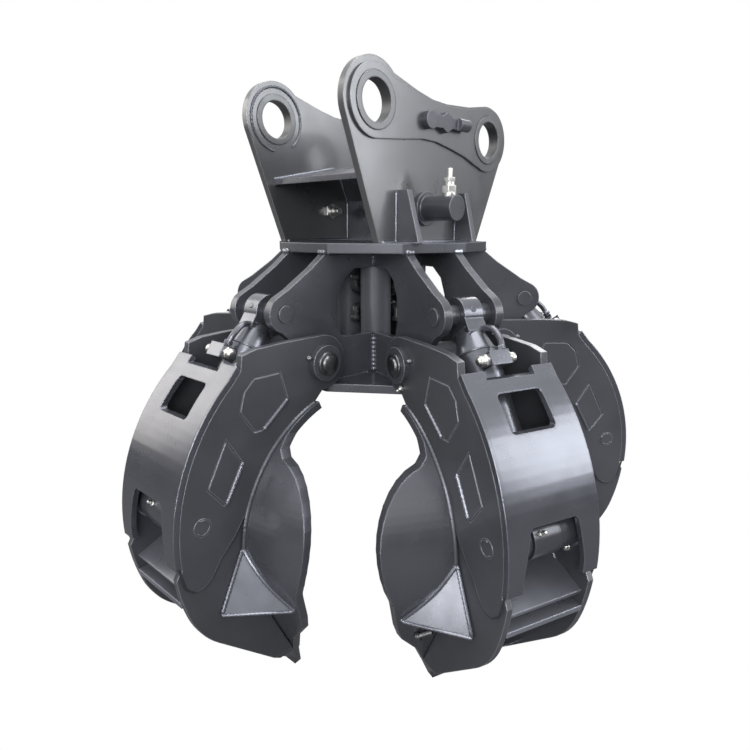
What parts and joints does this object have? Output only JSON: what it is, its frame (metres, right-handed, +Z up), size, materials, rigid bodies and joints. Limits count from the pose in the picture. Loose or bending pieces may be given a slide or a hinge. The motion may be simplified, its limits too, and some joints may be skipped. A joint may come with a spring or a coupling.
{
  "type": "excavator grapple",
  "caption": "Pin-on hydraulic orange-peel grapple with swinging petal jaws, each on its own cylinder, in dark grey paint.",
  "frame": {"origin": "middle of the stick pin's axis, halfway between the ears", "axes": "+Z up, +X along the stick and link pins towards the ear with the oil port, +Y from the stick pin towards the link pin; the front jaw hangs on the -Y side"},
  "size_m": [1.2696, 1.2074, 1.3113],
  "materials": {
    "grey_paint": "gloss",
    "black_paint": "satin",
    "dark_steel": "satin",
    "pin_steel": "satin",
    "chrome_rod": "polished",
    "zinc": "satin"
  },
  "bodies": {
    "head_and_hub": {"ear_near": "grey_paint", "ear_far": "grey_paint", "ear_doublers": "grey_paint", "pin_bushes": "dark_steel", "tie_plate": "grey_paint", "ear_gussets": "grey_paint", "port_tube": "grey_paint", "hub_fittings": "zinc", "lock_block": "grey_paint", "flange": "grey_paint", "bottom_plate": "grey_paint", "clevis_front": "grey_paint", "clevis_right": "grey_paint", "clevis_rear": "grey_paint", "clevis_left": "grey_paint", "clevis_empty": "grey_paint", "corner_posts": "grey_paint", "pivot_tubes": "grey_paint", "swivel_body": "black_paint", "cylinder_pins": "pin_steel"},
    "jaw_front": {"jaw_front_near": "grey_paint", "jaw_front_far": "grey_paint", "jaw_front_cover": "grey_paint", "jaw_front_shell": "grey_paint", "jaw_front_webs": "grey_paint", "jaw_front_pivot_pin": "grey_paint", "jaw_front_rod_pin": "pin_steel"},
    "barrel_front": {"cyl_front_barrel": "grey_paint", "cyl_front_ports": "grey_paint"},
    "rod_front": {"cyl_front_rod": "chrome_rod"},
    "jaw_right": {"jaw_right_near": "grey_paint", "jaw_right_far": "grey_paint", "jaw_right_cover": "grey_paint", "jaw_right_shell": "grey_paint", "jaw_right_webs": "grey_paint", "jaw_right_pivot_pin": "grey_paint", "jaw_right_rod_pin": "pin_steel"},
    "barrel_right": {"cyl_right_barrel": "grey_paint", "cyl_right_ports": "grey_paint"},
    "rod_right": {"cyl_right_rod": "chrome_rod"},
    "jaw_rear": {"jaw_rear_near": "grey_paint", "jaw_rear_far": "grey_paint", "jaw_rear_cover": "grey_paint", "jaw_rear_shell": "grey_paint", "jaw_rear_webs": "grey_paint", "jaw_rear_pivot_pin": "grey_paint", "jaw_rear_rod_pin": "pin_steel"},
    "barrel_rear": {"cyl_rear_barrel": "grey_paint", "cyl_rear_ports": "grey_paint"},
    "rod_rear": {"cyl_rear_rod": "chrome_rod"},
    "jaw_left": {"jaw_left_near": "grey_paint", "jaw_left_far": "grey_paint", "jaw_left_cover": "grey_paint", "jaw_left_shell": "grey_paint", "jaw_left_webs": "grey_paint", "jaw_left_pivot_pin": "grey_paint", "jaw_left_rod_pin": "pin_steel"},
    "barrel_left": {"cyl_left_barrel": "grey_paint", "cyl_left_ports": "grey_paint"},
    "rod_left": {"cyl_left_rod": "chrome_rod"}
  },
  "joints": [
    {"name": "jaw_front_swing", "type": "hinge", "parent": "head_and_hub", "child": "jaw_front", "pos_m": [0, -0.0885, -0.5053], "axis": [1, 0, 0], "range_deg": [-8, 16]},
    {"name": "barrel_front_swing", "type": "hinge", "parent": "head_and_hub", "child": "barrel_front", "pos_m": [0, -0.1575, -0.4023], "axis": [1, 0, 0], "range_deg": [-9, 17]},
    {"name": "rod_front_slide", "type": "slide", "parent": "barrel_front", "child": "rod_front", "axis": [0, -0.536, -0.8442], "range_m": [-0.0163, 0.0317]},
    {"name": "jaw_right_swing", "type": "hinge", "parent": "head_and_hub", "child": "jaw_right", "pos_m": [0.26154, 0.10152, -0.5053], "axis": [0.309, 0.9511, 0], "range_deg": [-8, 16]},
    {"name": "barrel_right_swing", "type": "hinge", "parent": "head_and_hub", "child": "barrel_right", "pos_m": [0.32716, 0.0802, -0.4023], "axis": [0.309, 0.9511, 0], "range_deg": [-9, 17]},
    {"name": "rod_right_slide", "type": "slide", "parent": "barrel_right", "child": "rod_right", "axis": [0.5098, -0.1656, -0.8442], "range_m": [-0.0163, 0.0317]},
    {"name": "jaw_rear_swing", "type": "hinge", "parent": "head_and_hub", "child": "jaw_rear", "pos_m": [0.16164, 0.40898, -0.5053], "axis": [-0.809, 0.5878, 0], "range_deg": [-8, 16]},
    {"name": "barrel_rear_swing", "type": "hinge", "parent": "head_and_hub", "child": "barrel_rear", "pos_m": [0.2022, 0.4648, -0.4023], "axis": [-0.809, 0.5878, 0], "range_deg": [-9, 17]},
    {"name": "rod_rear_slide", "type": "slide", "parent": "barrel_rear", "child": "rod_rear", "axis": [0.315, 0.4336, -0.8442], "range_m": [-0.0163, 0.0317]},
    {"name": "jaw_left_swing", "type": "hinge", "parent": "head_and_hub", "child": "jaw_left", "pos_m": [-0.26154, 0.10152, -0.5053], "axis": [0.309, -0.9511, 0], "range_deg": [-8, 16]},
    {"name": "barrel_left_swing", "type": "hinge", "parent": "head_and_hub", "child": "barrel_left", "pos_m": [-0.32716, 0.0802, -0.4023], "axis": [0.309, -0.9511, 0], "range_deg": [-9, 17]},
    {"name": "rod_left_slide", "type": "slide", "parent": "barrel_left", "child": "rod_left", "axis": [-0.5098, -0.1656, -0.8442], "range_m": [-0.0163, 0.0317]}
  ],
  "couplings": [
    {"joint": "barrel_front_swing", "follows": "jaw_front_swing", "ratio": 0.8709},
    {"joint": "rod_front_slide", "follows": "jaw_front_swing", "m_per_rad": 0.10983},
    {"joint": "barrel_right_swing", "follows": "jaw_right_swing", "ratio": 0.8709},
    {"joint": "rod_right_slide", "follows": "jaw_right_swing", "m_per_rad": 0.10983},
    {"joint": "barrel_rear_swing", "follows": "jaw_rear_swing", "ratio": 0.8709},
    {"joint": "rod_rear_slide", "follows": "jaw_rear_swing", "m_per_rad": 0.10983},
    {"joint": "barrel_left_swing", "follows": "jaw_left_swing", "ratio": 0.8709},
    {"joint": "rod_left_slide", "follows": "jaw_left_swing", "m_per_rad": 0.10983}
  ]
}
